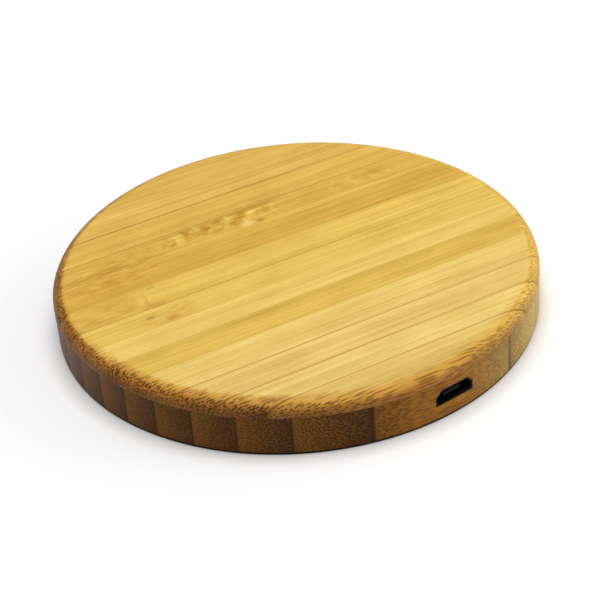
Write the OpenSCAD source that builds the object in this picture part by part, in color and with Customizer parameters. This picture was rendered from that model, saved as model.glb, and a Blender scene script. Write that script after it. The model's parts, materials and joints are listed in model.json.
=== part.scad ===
// Round wireless charging pad. A bamboo top plate is glued on a bamboo ring, and a
// screwed base cover with a non-slip mat closes the ring from below. Inside, a round
// board carries the power electronics and a foam spacer that presses the ferrite
// plate and the flat coil up against the top plate. All sizes are in millimetres.
// The origin is the middle of the underside, +Z points up and the port faces -Y.

/* [Casing] */
// Diameter of the pad
pad_d = 90; // [80:1:110]
// Thickness of the bamboo top plate
plate_t = 2.4; // [2.2:0.1:4]
// Radius of the rounded top edge
plate_round = 2.1; // [0.5:0.1:2.1]
// Height of the bamboo body ring
body_h = 7.3; // [6.2:0.1:12]
// Width of the ring's wall
wall_t = 6; // [6:0.5:9]
// Thickness of bamboo left in front of the port's pocket
port_wall_t = 1.8; // [1.2:0.1:2.4]
// Radius of the cutter that mills the inner corners
cutter_r = 1.5; // [0.5:0.1:2]

/* [Base] */
// Thickness of the plastic base cover
cover_t = 1.2; // [1:0.1:2]
// Bamboo left outside the cover's rebate
lip_t = 1.4; // [1:0.1:1.6]
// Gap round the cover in its rebate
cover_fit = 0.1; // [0.05:0.05:0.3]
// Height of the cover's locating rim
rim_h = 1.4; // [0.8:0.1:1.7]
// Thickness of the cover's locating rim
rim_t = 1; // [0.8:0.1:1.5]
// Gap between the rim and the ring's pocket
rim_fit = 0.15; // [0.05:0.05:0.3]
// Thickness of the non-slip mat
mat_t = 0.4; // [0.3:0.1:1]
// Step from the casing's wall in to the mat's edge
mat_inset = 0.15; // [0:0.05:1]
// Radii of the grooves in the mat
mat_groove_r = [14, 24, 34]; // each [8:1:40]
// Width of a groove in the mat
mat_groove_w = 0.8; // [0.4:0.1:1.5]
// Depth of a groove in the mat
mat_groove_depth = 0.15; // [0.05:0.05:0.2]

/* [Base screws] */
// Number of base screws
screw_count = 4; // [4:1:6]
// Angle of the first base screw
screw_start = 45; // [40:1:50]
// Thread diameter of a base screw
screw_d = 2; // [1.6:0.1:2.2]
// Diameter of the countersunk head
screw_head_d = 3.6; // [3:0.1:3.7]
// Length of a screw over its head
screw_len = 5; // [4:0.5:6]
// Length of a screw's point
screw_tip = 1; // [0.5:0.1:1.5]
// Radial gap between a screw and its hole
screw_fit = 0.02; // [0.01:0.01:0.05]
// Pitch of the thread
screw_pitch = 0.7; // [0.5:0.1:1]
// Depth of the thread
thread_depth = 0.25; // [0.15:0.05:0.3]
// Width of the cross recess
recess_w = 0.45; // [0.3:0.05:0.6]
// Depth of the cross recess
recess_depth = 0.5; // [0.3:0.1:0.7]

/* [Circuit board] */
// Thickness of the board
board_t = 1; // [0.8:0.1:1.2]
// Gap between the board and the cover's rim
board_gap = 0.35; // [0.2:0.05:1]
// Height of the standoffs under the board
standoff_h = 0.75; // [0.5:0.05:1.2]
// Diameter of a standoff
standoff_d = 4; // [3:0.5:5]
// Diameter of the posts that hold the board
stake_d = 1.6; // [1.2:0.1:2]
// Diameter of a post's melted head
stake_head_d = 2.8; // [2.2:0.1:3.2]
// Height of a post's melted head
stake_head_h = 0.6; // [0.4:0.1:0.8]
// Radial gap between a post and its hole
stake_fit = 0.1; // [0.05:0.05:0.2]
// Width of the board's tongue under the port
tongue_w = 12.4; // [11:0.1:14]
// Gap round the tongue in the ring's pocket
tongue_gap = 0.3; // [0.2:0.05:0.6]

/* [Charging coil] */
// Turns of the coil
coil_turns = 10; // [8:1:11]
// Inner diameter of the coil
coil_id = 20.5; // [16:0.5:22]
// Width of the coil's wire
wire_w = 1; // [0.8:0.05:1.1]
// Height of the coil's wire
wire_h = 1.15; // [0.9:0.05:1.2]
// Gap between turns
wire_gap = 0.07; // [0.04:0.01:0.15]
// Diameter of the coil's two leads
lead_d = 0.9; // [0.7:0.05:0.95]
// Thickness of the tape over the coil
tape_t = 0.2; // [0.1:0.05:0.3]
// Reach of the tape past the coil
tape_margin = 0.5; // [0:0.1:1]
// Thickness of the glue film under the coil
glue_t = 0.1; // [0.05:0.05:0.2]
// Thickness of the ferrite plate
ferrite_t = 1; // [1:0.1:1.2]
// Reach of the ferrite plate past the coil
ferrite_margin = 3; // [1:0.5:3]
// Width of the slot in the ferrite plate
slot_w = 1.6; // [1.2:0.1:2]
// Diameter of the foam spacer
foam_d = 40; // [30:1:42]

/* [Port] */
// Outside width of the socket's shell
shell_w = 7.4; // [7.3:0.05:7.6]
// Outside height of the socket's shell
shell_h = 2.35; // [2.3:0.05:2.5]
// Corner cut at the narrow side of the shell
shell_cut = 1.05; // [0.9:0.05:1.2]
// Thickness of the shell's sheet
sheet_t = 0.25; // [0.2:0.01:0.3]
// Depth of the socket from mouth to back
socket_depth = 5.2; // [4.8:0.1:5.6]
// Length of the flared mouth
flare_len = 0.75; // [0.5:0.05:1]
// Spread of the flared mouth on each side
flare = 0.32; // [0.2:0.01:0.35]
// Gap between the mouth and the bamboo
port_gap = 0.04; // [0.02:0.01:0.1]
// Step from the casing's wall in to the mouth
mouth_recess = 0.25; // [0.2:0.05:1]
// Width of the socket's plastic tongue
blade_w = 3.7; // [3.5:0.1:4]
// Thickness of the socket's plastic tongue
blade_t = 0.62; // [0.5:0.02:0.7]
// Number of contacts
contact_count = 5; // fixed, a micro-B socket has five
// Distance from contact to contact
contact_pitch = 0.65; // [0.6:0.05:0.7]

/* [Hidden] */

$fn = 96;
// Extra length of a cut past the face it opens
over = 1;
// Thickness of the end slices that a hull joins
sliver = 0.01;
// Steps of the coil in one turn
coil_steps = 36;
// Sides of a lead's round section
lead_fn = 12;

pad_r = pad_d / 2;
pocket_r = pad_r - wall_t;
rebate_r = pad_r - lip_t;
cover_r = rebate_r - cover_fit;
screw_r = (pocket_r + rebate_r) / 2;

// Heights of the stack from the table up
ring_z = mat_t;
plate_z = ring_z + body_h;
cover_top = ring_z + cover_t;
board_z = cover_top + standoff_h;
board_top = board_z + board_t;
tape_z = plate_z - tape_t;
coil_z = tape_z - wire_h;
glue_z = coil_z - glue_t;
ferrite_z = glue_z - ferrite_t;
foam_t = ferrite_z - board_top;

rim_r = pocket_r - rim_fit;
board_r = rim_r - rim_t - board_gap;
bay_w = tongue_w + 2 * tongue_gap;
bay_y = pad_r - port_wall_t;
tongue_y = bay_y - tongue_gap;

// Posts that hold the board: angle and distance in from the board's edge
stake_angles = [10, 90, 170, 254, 286];
stake_inset = 3;

wire_pitch = wire_w + wire_gap;
coil_start_r = (coil_id + wire_w) / 2;
coil_end_r = coil_start_r + coil_turns * wire_pitch;
coil_r = coil_end_r + wire_w / 2;
ferrite_r = coil_r + ferrite_margin;
// Angles of the coil's ends, the inner lead's slot and the outer lead's pad
coil_angle = 60;
slot_angle = 51;
outer_pad_angle = 69;
slot_start_r = coil_id / 2 - 3.6;
pad_inset = 5;
solder_d = 2.8;
solder_top_d = 1.4;
solder_h = 0.7;

mouth_y = pad_r - mouth_recess;
socket_back = mouth_y - socket_depth;
cavity_w = shell_w - 2 * sheet_t;
cavity_h = shell_h - 2 * sheet_t;
cavity_cut = shell_cut - sheet_t * (2 - sqrt(2));
port_cut = shell_cut + flare * (2 - sqrt(2));
insulator_t = 1.2;
insulator_fit = 0.02;
blade_recess = 0.7;
blade_rise = 0.38;
contact_w = 0.38;
contact_t = 0.12;
contact_foot = 0.7;
// Gap between the shell's back and the contacts' tails
tail_gap = 0.25;
tab_w = 0.9;
tab_t = 0.3;

// Chips on the board: body length (along the radius), width and height
chip_0603 = [1.6, 0.8];
resistor_h = 0.45;
capacitor_h = 0.8;
// Places by angle and distance in from the board's edge
resistor_rows = [[178, 6, 206, 3], [176, 6, 206, 6.4], [112, 7, 154, 3.2]];
capacitor_rows = [[212, 6, 236, 10.6], [104, 9, 149, 7]];
resonant_size = [3.2, 2.5, 1.6];
resonant_angles = [20, 27, 34, 41];
input_cap_size = [3.2, 1.6, 1.3];
input_cap_angles = [293, 299, 305];
inductor_size = [4, 4, 1.7];
inductor_angle = 242;
sense_size = [3.2, 1.6, 0.6];
sense_angle = 344;
transistor_size = [3.9, 4.9, 1.4];
transistor_angles = [316, 331];
transistor_span = 6;
leg_w = 0.4;
leg_t = 0.2;
leg_pitch = 1.27;
leg_rise = 0.5;
controller_size = [5, 5, 0.85];
controller_angle = 223;
big_inset = 5;

// ---- Shared shapes ----

// Rectangle with round corners, centred
module round_rect(w, l, r) {
    square([w - 2 * r, l], center = true);
    square([w, l - 2 * r], center = true);
    for (x = [-1, 1], y = [-1, 1]) {
        translate([x * (w / 2 - r), y * (l / 2 - r)]) circle(r = r);
    }
}

// Outline of the port: flat floor, sides and two cut upper corners
module port_outline(w, h, cut) {
    polygon([
        [-w / 2, -h / 2],
        [w / 2, -h / 2],
        [w / 2, h / 2 - cut],
        [w / 2 - cut, h / 2],
        [-w / 2 + cut, h / 2],
        [-w / 2, h / 2 - cut]
    ]);
}

// Upright port outline pushed along Y from y0 (nearer the middle) to y1
module port_prism(w, h, cut, y0, y1) {
    translate([0, -y0, board_top + shell_h / 2]) {
        rotate([90, 0, 0]) {
            linear_extrude(height = y1 - y0) port_outline(w, h, cut);
        }
    }
}

// Places its children on the board, turned to face outwards
module on_board(angle, inset) {
    rotate([0, 0, angle]) {
        translate([board_r - inset, 0, board_top]) children();
    }
}

// Block that stands on the plane z = 0
module block(size) {
    translate([0, 0, size[2] / 2]) cube(size, center = true);
}

// Rows of small chips, each row given as [first angle, step, last angle, inset]
module chip_rows(rows, h) {
    for (row = rows) {
        for (angle = [row[0] : row[1] : row[2]]) {
            on_board(angle, row[3]) block([chip_0603[0], chip_0603[1], h]);
        }
    }
}

// Round wire along points given as [radius, angle, height]
module lead(points) {
    for (i = [0 : len(points) - 2]) {
        hull() {
            lead_bead(points[i]);
            lead_bead(points[i + 1]);
        }
    }
}

module lead_bead(p) {
    translate([p[0] * cos(p[1]), p[0] * sin(p[1]), p[2]]) sphere(d = lead_d, $fn = lead_fn);
}

// ---- Casing ----

module top_plate() {
    color("#E3BE65") {
        translate([0, 0, plate_z]) {
            rotate_extrude() {
                square([pad_r - plate_round, plate_t]);
                square([pad_r, plate_t - plate_round]);
                intersection() {
                    translate([pad_r - plate_round, plate_t - plate_round]) circle(r = plate_round);
                    square([pad_r, plate_t]);
                }
            }
        }
    }
}

module body_ring() {
    color("#9A6B3A") {
        difference() {
            translate([0, 0, ring_z]) cylinder(r = pad_r, h = body_h);
            translate([0, 0, ring_z - over]) cylinder(r = pocket_r, h = body_h + 2 * over);
            translate([0, 0, ring_z - over]) cylinder(r = rebate_r, h = cover_t + over);
            port_bay();
            port_prism(
                shell_w + 2 * (flare + port_gap),
                shell_h + 2 * (flare + port_gap),
                port_cut,
                bay_y - over,
                pad_r + over
            );
            screw_places() {
                translate([0, 0, cover_top - over]) {
                    cylinder(d = screw_d + 2 * screw_fit, h = screw_len - cover_t + over);
                }
            }
        }
    }
}

// Milled bay that lets the board's tongue reach the port
module port_bay() {
    bay_l = wall_t - port_wall_t + 2 * cutter_r + over;
    translate([0, -(bay_y - bay_l / 2), ring_z - over]) {
        linear_extrude(height = body_h + 2 * over) round_rect(bay_w, bay_l, cutter_r);
    }
}

module screw_places() {
    for (i = [0 : screw_count - 1]) {
        rotate([0, 0, screw_start + i * 360 / screw_count]) {
            translate([screw_r, 0, 0]) children();
        }
    }
}

// ---- Base ----

module base_cover() {
    color("#26272A") {
        difference() {
            union() {
                translate([0, 0, ring_z]) cylinder(r = cover_r, h = cover_t);
                cover_rim();
                stakes(standoff_d, cover_top - over / 2, standoff_h + over / 2);
            }
            screw_places() {
                translate([0, 0, ring_z]) countersunk(screw_fit, cover_t + over, 0);
            }
        }
        stakes(stake_d, board_z, board_t);
        stake_heads();
    }
}

module cover_rim() {
    difference() {
        translate([0, 0, cover_top]) cylinder(r = rim_r, h = rim_h);
        translate([0, 0, cover_top - over]) cylinder(r = rim_r - rim_t, h = rim_h + 2 * over);
        translate([-bay_w / 2, -pad_r, cover_top - over]) cube([bay_w, wall_t * 2, rim_h + 2 * over]);
    }
}

module stakes(d, z, h) {
    for (angle = stake_angles) {
        rotate([0, 0, angle]) translate([board_r - stake_inset, 0, z]) cylinder(d = d, h = h);
    }
}

module stake_heads() {
    for (angle = stake_angles) {
        on_board(angle, stake_inset) cylinder(d1 = stake_head_d, d2 = stake_d, h = stake_head_h);
    }
}

// Countersunk screw's outline with its head down: cone, shank and, at the end, a point
module countersunk(gap, len, tip) {
    cone_h = (screw_head_d - screw_d) / 2;
    cylinder(d1 = screw_head_d + 2 * gap, d2 = screw_d + 2 * gap, h = cone_h);
    cylinder(d = screw_d + 2 * gap - (tip > 0 ? 2 * thread_depth : 0), h = len - tip);
    if (tip > 0) {
        translate([0, 0, len - tip]) cylinder(d1 = screw_d - 2 * thread_depth, d2 = 0.2, h = tip);
    }
}

module base_screws() {
    color("#B9BCC0") {
        screw_places() {
            translate([0, 0, ring_z]) {
                difference() {
                    union() {
                        countersunk(0, screw_len, screw_tip);
                        thread();
                    }
                    for (turn = [0, 90]) {
                        rotate([0, 0, turn]) {
                            translate([0, 0, recess_depth / 2 - over / 2]) {
                                cube([screw_d, recess_w, recess_depth + over], center = true);
                            }
                        }
                    }
                }
            }
        }
    }
}

// Thread drawn as one ridge for each pitch of the shank
module thread() {
    first = cover_t;
    last = screw_len - screw_tip - screw_pitch;
    for (z = [first : screw_pitch : last]) {
        translate([0, 0, z]) {
            cylinder(d1 = screw_d - 2 * thread_depth, d2 = screw_d, h = screw_pitch / 2);
            translate([0, 0, screw_pitch / 2]) {
                cylinder(d1 = screw_d, d2 = screw_d - 2 * thread_depth, h = screw_pitch / 2);
            }
        }
    }
}

module base_mat() {
    color("#17181A") {
        difference() {
            cylinder(r = pad_r - mat_inset, h = mat_t);
            for (r = mat_groove_r) {
                difference() {
                    translate([0, 0, -over]) cylinder(r = r + mat_groove_w / 2, h = mat_groove_depth + over);
                    translate([0, 0, -2 * over]) cylinder(r = r - mat_groove_w / 2, h = mat_t + 3 * over);
                }
            }
        }
    }
}

// ---- Coil stack ----

module coil_tape() {
    color("#E8E4D8") {
        translate([0, 0, tape_z]) cylinder(r = coil_r + tape_margin, h = tape_t);
    }
}

function coil_side(shift) = [
    for (i = [0 : coil_turns * coil_steps])
        let (turn = i / coil_steps)
        (coil_start_r + wire_pitch * turn + shift) * [cos(360 * turn), sin(360 * turn)]
];

function reversed(list) = [for (i = [len(list) - 1 : -1 : 0]) list[i]];

module charging_coil() {
    color("#B4633A") {
        translate([0, 0, coil_z]) {
            rotate([0, 0, coil_angle]) {
                linear_extrude(height = wire_h) {
                    polygon(concat(coil_side(wire_w / 2), reversed(coil_side(-wire_w / 2))));
                }
            }
        }
    }
}

// From the coil's inner end down into the ferrite's slot and out to its pad
module inner_lead() {
    mid_z = coil_z + wire_h / 2;
    slot_z = ferrite_z + ferrite_t / 2;
    drop_r = slot_start_r + slot_w + lead_d / 2;
    pad_r_in = board_r - pad_inset;
    start_turn = lead_d / 2 / coil_start_r * 180 / PI;
    color("#B4633A") {
        lead([
            [coil_start_r, coil_angle - start_turn, mid_z],
            [coil_start_r - 0.8, coil_angle - start_turn - 2.5, mid_z - 0.05],
            [drop_r, slot_angle + 1.5, mid_z - 0.35],
            [drop_r, slot_angle, slot_z + 0.3],
            [drop_r + 0.8, slot_angle, slot_z],
            [ferrite_r + 0.8, slot_angle, slot_z],
            [pad_r_in - 1, slot_angle, board_top + solder_h + 1],
            [pad_r_in, slot_angle, board_top + solder_h + lead_d / 2]
        ]);
    }
}

// From the coil's outer end over the ferrite's rim to its pad
module outer_lead() {
    mid_z = coil_z + wire_h / 2;
    pad_r_out = board_r - pad_inset;
    start_turn = lead_d / 2 / coil_end_r * 180 / PI;
    color("#B4633A") {
        lead([
            [coil_end_r, coil_angle + start_turn, mid_z],
            [coil_end_r + 0.4, coil_angle + start_turn + 3, mid_z],
            [ferrite_r - 1.6, outer_pad_angle - 1, mid_z],
            [ferrite_r + 0.6, outer_pad_angle, mid_z - 0.1],
            [pad_r_out - 1, outer_pad_angle, board_top + solder_h + 1.2],
            [pad_r_out, outer_pad_angle, board_top + solder_h + lead_d / 2]
        ]);
    }
}

module lead_solder() {
    color("#C9CCD0") {
        for (angle = [slot_angle, outer_pad_angle]) {
            on_board(angle, pad_inset) cylinder(d1 = solder_d, d2 = solder_top_d, h = solder_h);
        }
    }
}

module coil_glue() {
    color("#D9D2B0") {
        translate([0, 0, glue_z]) {
            linear_extrude(height = glue_t) {
                difference() {
                    circle(r = coil_r);
                    circle(d = coil_id);
                }
            }
        }
    }
}

module ferrite_plate() {
    color("#3B3A3A") {
        translate([0, 0, ferrite_z]) {
            linear_extrude(height = ferrite_t) {
                difference() {
                    circle(r = ferrite_r);
                    rotate([0, 0, slot_angle]) {
                        translate([slot_start_r, -slot_w / 2]) square([ferrite_r, slot_w]);
                        translate([slot_start_r, 0]) circle(d = slot_w);
                    }
                }
            }
        }
    }
}

module foam_spacer() {
    color("#4A4A4D") {
        translate([0, 0, board_top]) cylinder(d = foam_d, h = foam_t);
    }
}

// ---- Board and its parts ----

module circuit_board() {
    color("#1E6B45") {
        translate([0, 0, board_z]) {
            difference() {
                linear_extrude(height = board_t) {
                    circle(r = board_r);
                    translate([0, -tongue_y / 2]) round_rect(tongue_w, tongue_y, cutter_r);
                }
                stakes(stake_d + 2 * stake_fit, -over, board_t + 2 * over);
            }
        }
    }
}

module transmitter_chip() {
    color("#202124") {
        on_board(controller_angle, big_inset) block(controller_size);
    }
}

// Small-outline package: body with a row of bent legs on each side
module outline_package() {
    foot = (transistor_span - transistor_size[0]) / 2;
    leg_reach = foot / 2 + leg_t / 2;
    translate([0, 0, leg_t / 2]) block([transistor_size[0], transistor_size[1], transistor_size[2]]);
    for (side = [-1, 1]) {
        for (i = [0 : 3]) {
            translate([side * transistor_size[0] / 2, (i - 1.5) * leg_pitch, 0]) {
                translate([side * leg_reach / 2, 0, leg_rise]) block([leg_reach, leg_w, leg_t]);
                translate([side * (foot / 2), 0, 0]) block([leg_t, leg_w, leg_rise + leg_t]);
                translate([side * foot * 3 / 4, 0, 0]) block([foot / 2, leg_w, leg_t]);
            }
        }
    }
}

module power_transistors() {
    color("#242528") {
        for (angle = transistor_angles) {
            on_board(angle, big_inset) outline_package();
        }
    }
}

module resonant_capacitors() {
    color("#A9825A") {
        for (angle = resonant_angles) {
            on_board(angle, big_inset) block(resonant_size);
        }
    }
}

module input_capacitors() {
    color("#A9825A") {
        for (angle = input_cap_angles) {
            on_board(angle, big_inset) block(input_cap_size);
        }
    }
}

module input_inductor() {
    color("#55565A") {
        on_board(inductor_angle, big_inset) {
            linear_extrude(height = inductor_size[2]) {
                round_rect(inductor_size[0], inductor_size[1], inductor_size[0] / 5);
            }
        }
    }
}

module sense_resistor() {
    color("#1B1C1E") {
        on_board(sense_angle, big_inset) block(sense_size);
    }
}

module chip_resistors() {
    color("#1B1C1E") chip_rows(resistor_rows, resistor_h);
}

module chip_capacitors() {
    color("#A9825A") chip_rows(capacitor_rows, capacitor_h);
}

// ---- Socket ----

module usb_shell() {
    flare_y = mouth_y - flare_len;
    color("#2B2C2F") {
        difference() {
            port_prism(shell_w, shell_h, shell_cut, socket_back, flare_y);
            port_prism(cavity_w, cavity_h, cavity_cut, socket_back - over, flare_y + over);
        }
        difference() {
            mouth_flare(shell_w, shell_h, shell_cut, flare_y, mouth_y);
            mouth_flare(cavity_w, cavity_h, cavity_cut, flare_y - sliver, mouth_y + sliver);
        }
        solder_tabs();
    }
}

// Port outline that spreads by flare on each side from y0 to y1
module mouth_flare(w, h, cut, y0, y1) {
    spread_cut = cut + flare * (2 - sqrt(2));
    hull() {
        port_prism(w, h, cut, y0, y0 + sliver);
        port_prism(w + 2 * flare, h + 2 * flare, spread_cut, y1 - sliver, y1);
    }
}

// Four feet that solder the shell to the board
module solder_tabs() {
    for (side = [-1, 1]) {
        for (y = [socket_back + tab_w, tongue_y - tab_w]) {
            translate([side * (shell_w + tab_t) / 2, -y, board_top]) {
                block([tab_t, tab_w, shell_h - shell_cut]);
            }
        }
    }
}

module usb_insulator() {
    blade_z = board_top + sheet_t + blade_rise;
    blade_y = mouth_y - blade_recess;
    color("#101113") {
        difference() {
            union() {
                port_prism(
                    cavity_w - 2 * insulator_fit,
                    cavity_h - 2 * insulator_fit,
                    cavity_cut,
                    socket_back,
                    socket_back + insulator_t
                );
                translate([-blade_w / 2, -blade_y, blade_z]) {
                    cube([blade_w, blade_y - socket_back, blade_t]);
                }
            }
            contact_blades(socket_back - over);
        }
    }
}

// Flat contacts in the tongue's upper side, from y0 out to their tips
module contact_blades(y0) {
    contact_z = board_top + sheet_t + blade_rise + blade_t - contact_t;
    tip_y = mouth_y - blade_recess - 2 * contact_t;
    for (i = [0 : contact_count - 1]) {
        x = (i - (contact_count - 1) / 2) * contact_pitch;
        translate([x - contact_w / 2, -tip_y, contact_z]) cube([contact_w, tip_y - y0, contact_t]);
    }
}

module usb_contacts() {
    contact_top = board_top + sheet_t + blade_rise + blade_t;
    tail_y = socket_back - tail_gap;
    color("#D8B45A") {
        contact_blades(tail_y - contact_t);
        for (i = [0 : contact_count - 1]) {
            x = (i - (contact_count - 1) / 2) * contact_pitch;
            translate([x - contact_w / 2, -tail_y, board_top]) {
                cube([contact_w, contact_t, contact_top - board_top]);
                cube([contact_w, contact_foot, contact_t]);
            }
        }
    }
}

top_plate();
body_ring();
base_cover();
base_screws();
base_mat();
coil_tape();
charging_coil();
inner_lead();
outer_lead();
coil_glue();
ferrite_plate();
foam_spacer();
circuit_board();
lead_solder();
usb_shell();
usb_insulator();
usb_contacts();
transmitter_chip();
power_transistors();
resonant_capacitors();
input_capacitors();
input_inductor();
sense_resistor();
chip_resistors();
chip_capacitors();
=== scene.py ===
"""Looks of a round bamboo wireless charging pad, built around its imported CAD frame."""

import json
import logging
import math
from dataclasses import dataclass, field
from enum import Enum
from typing import Any, Optional, Sequence

import bmesh
import bpy
from mathutils import Matrix, Vector

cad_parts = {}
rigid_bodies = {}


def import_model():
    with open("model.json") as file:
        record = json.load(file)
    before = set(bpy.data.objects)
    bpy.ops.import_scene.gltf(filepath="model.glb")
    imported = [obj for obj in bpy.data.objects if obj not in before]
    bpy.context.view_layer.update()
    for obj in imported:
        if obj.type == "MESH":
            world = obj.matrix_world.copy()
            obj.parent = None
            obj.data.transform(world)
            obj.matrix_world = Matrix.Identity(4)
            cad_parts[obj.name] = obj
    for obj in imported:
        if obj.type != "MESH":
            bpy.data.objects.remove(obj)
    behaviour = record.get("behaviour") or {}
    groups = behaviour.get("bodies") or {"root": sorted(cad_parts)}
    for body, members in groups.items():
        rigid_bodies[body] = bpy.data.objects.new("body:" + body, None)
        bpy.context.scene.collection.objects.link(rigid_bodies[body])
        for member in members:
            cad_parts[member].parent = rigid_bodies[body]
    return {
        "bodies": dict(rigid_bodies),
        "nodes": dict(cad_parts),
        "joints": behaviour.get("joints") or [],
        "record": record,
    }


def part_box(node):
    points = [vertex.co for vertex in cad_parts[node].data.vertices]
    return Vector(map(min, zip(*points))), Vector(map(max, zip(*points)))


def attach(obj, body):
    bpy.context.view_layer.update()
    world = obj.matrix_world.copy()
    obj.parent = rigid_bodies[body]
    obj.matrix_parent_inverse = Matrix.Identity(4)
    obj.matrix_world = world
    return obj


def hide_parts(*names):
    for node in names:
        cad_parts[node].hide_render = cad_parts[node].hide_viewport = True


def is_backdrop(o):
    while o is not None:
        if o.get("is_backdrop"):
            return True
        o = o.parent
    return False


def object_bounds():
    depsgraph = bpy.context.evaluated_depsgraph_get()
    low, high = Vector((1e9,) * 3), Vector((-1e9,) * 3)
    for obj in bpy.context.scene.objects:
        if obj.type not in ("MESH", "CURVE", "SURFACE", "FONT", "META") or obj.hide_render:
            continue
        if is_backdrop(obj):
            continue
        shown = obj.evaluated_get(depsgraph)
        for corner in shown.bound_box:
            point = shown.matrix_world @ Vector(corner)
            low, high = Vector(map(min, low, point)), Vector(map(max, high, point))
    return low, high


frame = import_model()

log = logging.getLogger("charging_pad")

MM = 0.001
TURN = 2 * math.pi
Point = tuple[float, float]
Loop = list[Vector]
Tree = bpy.types.NodeTree
Piece = bpy.types.Object

# Settings that many shader nodes share
COLOUR = {"data_type": "RGBA"}
SMOOTH = {"interpolation_type": "SMOOTHSTEP"}


# ---- Colour and node helpers ----


def linear(colour: str, alpha: float = 1.0) -> tuple[float, float, float, float]:
    """Turns an sRGB hex colour into linear RGBA.

    Args:
        colour: six hex digits, with or without a leading #.
        alpha: the fourth value.

    Returns:
        The linear red, green, blue and alpha.
    """
    digits = colour.lstrip("#")
    channels = [int(digits[i:i + 2], 16) / 255 for i in (0, 2, 4)]
    red, green, blue = [c / 12.92 if c <= 0.04045 else ((c + 0.055) / 1.055) ** 2.4 for c in channels]
    return red, green, blue, alpha


def add_node(
    tree: Tree, kind: str, inputs: Optional[dict[Any, Any]] = None, **settings: Any
) -> bpy.types.Node:
    """Adds one shader node with its settings and links.

    Args:
        tree: the material's node tree.
        kind: the node type's name without "ShaderNode".
        inputs: a socket's index, or its name among those in use, mapped to a number,
            colour, vector, node or output socket.
        settings: properties of the node itself.

    Returns:
        The new node.
    """
    node = tree.nodes.new("ShaderNode" + kind)
    for key, value in settings.items():
        setattr(node, key, value)
    for key, value in (inputs or {}).items():
        socket = next(s for index, s in enumerate(node.inputs) if s.enabled and key in (index, s.name))
        if isinstance(value, bpy.types.Node):
            value = next(output for output in value.outputs if output.enabled)
        if isinstance(value, bpy.types.NodeSocket):
            tree.links.new(value, socket)
        else:
            socket.default_value = value
    return node


def new_material(name: str) -> bpy.types.Material:
    """Makes a material with an empty node tree.

    Args:
        name: the finish's name.

    Returns:
        The material.
    """
    material = bpy.data.materials.new(name)
    material.use_nodes = True
    material.node_tree.nodes.clear()
    return material


# ---- Mesh helpers ----


def make_object(name: str, bm: bmesh.types.BMesh, smooth_angle: float = 32.0) -> Piece:
    """Turns a bmesh into a linked object with smooth faces and sharp creases.

    Args:
        name: the object's name.
        bm: the mesh, freed here.
        smooth_angle: edges that turn more than this many degrees stay sharp.

    Returns:
        The new object.
    """
    bmesh.ops.recalc_face_normals(bm, faces=bm.faces)
    mesh = bpy.data.meshes.new(name)
    bm.to_mesh(mesh)
    bm.free()
    piece = bpy.data.objects.new(name, mesh)
    bpy.context.scene.collection.objects.link(piece)
    crease(piece, smooth_angle)
    return piece


def crease(piece: Piece, smooth_angle: float = 32.0) -> None:
    """Shades a piece smooth, with its sharp edges kept.

    Args:
        piece: the piece.
        smooth_angle: edges that turn more than this many degrees stay sharp.
    """
    mesh = piece.data
    mesh.polygons.foreach_set("use_smooth", [True] * len(mesh.polygons))
    mesh.set_sharp_from_angle(angle=math.radians(smooth_angle))


def lathe(profile: Sequence[Point], segments: int) -> bmesh.types.BMesh:
    """Turns a profile round the Z axis into a closed solid.

    Args:
        profile: (radius, height) points in metres, in order. Ends on the axis close
            as a disc; otherwise the last point joins the first and makes a ring.
        segments: number of steps round the axis.

    Returns:
        The solid as a bmesh.
    """
    bm = bmesh.new()
    rings = []
    for radius, height in profile:
        if radius < 1e-9:
            rings.append([bm.verts.new((0.0, 0.0, height))])
            continue
        ring = []
        for step in range(segments):
            angle = TURN * step / segments
            ring.append(bm.verts.new((radius * math.cos(angle), radius * math.sin(angle), height)))
        rings.append(ring)
    pairs = list(zip(rings, rings[1:]))
    if len(rings[0]) > 1:
        pairs.append((rings[-1], rings[0]))
    for low, high in pairs:
        for step in range(segments):
            after = (step + 1) % segments
            below = (low[step % len(low)], low[after % len(low)])
            above = (high[after % len(high)], high[step % len(high)])
            bm.faces.new(list(dict.fromkeys(below + above)))
    return bm


def arc(
    centre: Point, radius: float, start: float, end: float, steps: int, reach: Optional[float] = None
) -> list[Point]:
    """Points along an arc of a profile.

    Args:
        centre: the arc's centre.
        radius: its radius.
        start: first angle in degrees.
        end: last angle in degrees.
        steps: number of pieces.
        reach: its radius in the first direction, where that differs.

    Returns:
        The points, both ends included.
    """
    points = []
    for step in range(steps + 1):
        angle = math.radians(start + (end - start) * step / steps)
        points.append((centre[0] + (reach or radius) * math.cos(angle), centre[1] + radius * math.sin(angle)))
    return points


def loft(loops: Sequence[Loop], closed: bool = False) -> bmesh.types.BMesh:
    """Joins loops of equal length with quads.

    Args:
        loops: the sections, each a ring of points.
        closed: whether the last section joins the first; if not, both ends are capped.

    Returns:
        The skin as a bmesh.
    """
    bm = bmesh.new()
    rings = [[bm.verts.new(point) for point in loop] for loop in loops]
    pairs = list(zip(rings, rings[1:]))
    if closed:
        pairs.append((rings[-1], rings[0]))
    count = len(rings[0])
    for low, high in pairs:
        for step in range(count):
            after = (step + 1) % count
            bm.faces.new((low[step], low[after], high[after], high[step]))
    if not closed:
        bm.faces.new(rings[0])
        bm.faces.new(rings[-1])
    return bm


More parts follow.
